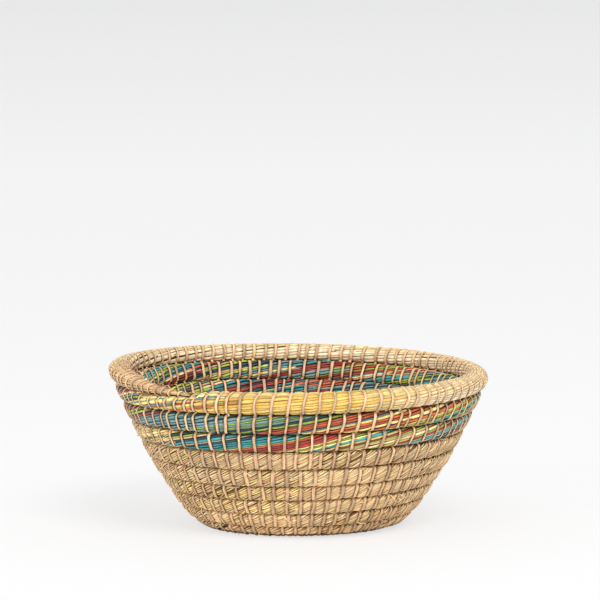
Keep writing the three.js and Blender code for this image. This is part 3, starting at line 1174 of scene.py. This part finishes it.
STRAW = grass_material("straw", 0.55, 2.2, 0.5)
TWINE = grass_material("twine", 0.6, 3, 0.6)
UNDYED = ("yellow", "beige")
DYED = {dye: grass_material(dye + "_grass", 0.45, 2.2, 0.4) for dye in DYES if dye not in UNDYED}

BASE_END = float(GRID_LENGTH[np.argmax(GRID_MIDDLE[:, 2] > BASE_EDGE_HEIGHT)])
DYED_START = float(length_at_turns(DYED_TURNS))
RIM_LENGTH = float(length_at_turns(RIM_TURNS))

WALL_SECTIONS = 12
WALL_OVERLAP = 25
DYED_OVERLAP = 12
CORE_OVERLAP = 2


def add_straw(part, groups, number=""):
    make_piece(part + "_straw" + number, groups, STRAW, [part + "_coil"])


def add_core(part, start, end):
    make_piece(part + "_core", [core_segments(start, end)], STRAW, [part + "_coil"])


def dress_base():
    draw = np.random.default_rng(31)
    straw = natural_strands(0, BASE_END, BASE_POINTS, draw)
    add_straw("base", [straw, loose_ends(60, BASE_END, 30, draw)])
    add_core("base", 0, BASE_END)


def dress_wall():
    draw = np.random.default_rng(32)
    cuts = np.linspace(BASE_END, DYED_START + DYED_OVERLAP, WALL_SECTIONS + 1)
    for number, (start, end) in enumerate(zip(cuts[:-1], cuts[1:]), 1):
        groups = [
            natural_strands(start - WALL_OVERLAP, end + WALL_OVERLAP, NATURAL_POINTS, draw),
            loose_ends(start, end, 40, draw),
            hairs(start, end, 20, draw),
            # Near-black strips of painted shade in the grooves
            groove_marks(start, end, 130, draw),
        ]
        add_straw("wall", groups, f"_{number}")
    add_core("wall", BASE_END - CORE_OVERLAP, DYED_START + CORE_OVERLAP)


def dress_dyed_rows():
    draw = np.random.default_rng(33)
    groups = dyed_strands(draw)
    # Near-black strips of painted shade in the grooves of the dyed rows
    groove_shade = groove_marks(DYED_START, RIM_LENGTH, 240, draw)
    plain = [groups.pop(dye) for dye in UNDYED] + [groove_shade]
    add_straw("dyed_rows", plain)
    add_core("dyed_rows", DYED_START, RIM_LENGTH)
    for dye, group in groups.items():
        nodes = [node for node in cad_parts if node.startswith("dyed_strand") and node.endswith(dye)]
        make_piece(dye + "_grass_strands", [group], DYED[dye], sorted(nodes))


def dress_rim():
    draw = np.random.default_rng(34)
    stray = hairs(RIM_LENGTH, COIL_LENGTH - 5, 50, draw)
    add_straw("rim", [rim_strands(draw), stray])
    add_core("rim", RIM_LENGTH - CORE_OVERLAP, COIL_LENGTH)


def sew():
    draw = np.random.default_rng(35)
    wall_middle = (BASE_END + DYED_START) / 2
    cuts = [0, BASE_END, wall_middle, DYED_START, RIM_LENGTH, COIL_LENGTH]
    names = ["base", "lower_wall", "upper_wall", "dyed_rows", "rim"]
    for name, start, end in zip(names, cuts[:-1], cuts[1:]):
        chosen = STITCHES[(STITCHES >= start) & (STITCHES < end)]
        nodes = ["rim_twine"] if name == "rim" else []
        make_piece(name + "_stitches", [stitch_group(chosen, draw)], TWINE, nodes)


dress_base()
dress_wall()
dress_dyed_rows()
dress_rim()
sew()


# The studio, in metres

BACKDROP_FRONT = -6
BACKDROP_BACK = 3.2
BACKDROP_HALF_WIDTH = 7
BACKDROP_HEIGHT = 3.5
BACKDROP_BEND = 1.2
BEND_STEPS = 24
BACKDROP_GLOW = 0.7


def backdrop_mesh():
    """A floor that curves up into a wall behind the bowl."""
    outline = [(BACKDROP_FRONT, 0)]
    for step in range(BEND_STEPS + 1):
        angle = step / BEND_STEPS * math.pi / 2
        depth = BACKDROP_BACK - BACKDROP_BEND + BACKDROP_BEND * math.sin(angle)
        outline.append((depth, BACKDROP_BEND - BACKDROP_BEND * math.cos(angle)))
    outline.append((BACKDROP_BACK, BACKDROP_HEIGHT))
    verts = [(x, y, z) for y, z in outline for x in (-BACKDROP_HALF_WIDTH, BACKDROP_HALF_WIDTH)]
    faces = [(2 * i, 2 * i + 1, 2 * i + 3, 2 * i + 2) for i in range(len(outline) - 1)]
    mesh = bpy.data.meshes.new("backdrop")
    mesh.from_pydata(verts, [], faces)
    mesh.shade_smooth()
    return mesh


def add_backdrop():
    """The camera and reflections see the backdrop glow, palest at the foot of the bowl."""
    material, tree, shader = new_material("backdrop")
    feed(tree, shader, {"Base Color": (0.89, 0.895, 0.905, 1), "Roughness": 0.9})
    place = add_node(tree, "NewGeometry", {})
    height = add_node(tree, "SeparateXYZ", {0: place.outputs["Position"]}).outputs["Z"]
    paleness = add_node(tree, "MapRange", {
        "Value": height, "From Max": 0.25, "To Min": 0.985, "To Max": 0.785,
    })
    glow = add_node(tree, "Emission", {"Color": paleness.outputs["Result"]})
    rays = add_node(tree, "LightPath", {}).outputs
    seen = rays["Is Camera Ray"]
    for ray in ("Is Glossy Ray", "Is Transmission Ray"):
        seen = add_node(tree, "Math", {0: seen, 1: rays[ray]}, operation="MAXIMUM").outputs[0]
    share = add_node(tree, "Math", {0: seen, 1: BACKDROP_GLOW}, operation="MULTIPLY")
    blend = add_node(tree, "MixShader", {0: share.outputs[0], 1: shader.outputs[0], 2: glow.outputs[0]})
    feed(tree, tree.nodes["Material Output"], {"Surface": blend.outputs[0]})
    mesh = backdrop_mesh()
    mesh.materials.append(material)
    backdrop = add_object("backdrop", mesh)


def aim(thing, place, target):
    thing.location = place
    thing.rotation_euler = (Vector(target) - Vector(place)).to_track_quat("-Z", "Y").to_euler()


def add_light(name, place, size, power, colour):
    data = bpy.data.lights.new(name, "AREA")
    data.shape = "DISK"
    data.size = size
    data.energy = power
    data.color = colour
    aim(add_object(name, data), place, (0, 0, 0.04))


def add_world():
    world = bpy.data.worlds.new("studio")
    world.use_nodes = True
    background = world.node_tree.nodes["Background"]
    feed(world.node_tree, background, {"Color": (1, 1, 1, 1), "Strength": 0.72})
    bpy.context.scene.world = world


def add_camera():
    """The photograph's viewpoint, a long lens slightly above the bowl."""
    data = bpy.data.cameras.new("camera")
    data.sensor_width = 36
    data.lens = 250.3
    data.clip_end = 50
    camera = add_object("camera", data)
    aim(camera, (0, -2.2, 0.3412), (0, 0, 0.1192))
    bpy.context.scene.camera = camera


add_backdrop()
add_world()
add_light("key", (0.7, -1.6, 1.8), 1.3, 30, (1, 0.985, 0.96))
add_light("fill", (-1.4, -1.6, 0.5), 1.4, 14, (1, 1, 1))
add_camera()
bpy.context.scene.view_settings.view_transform = "Standard"
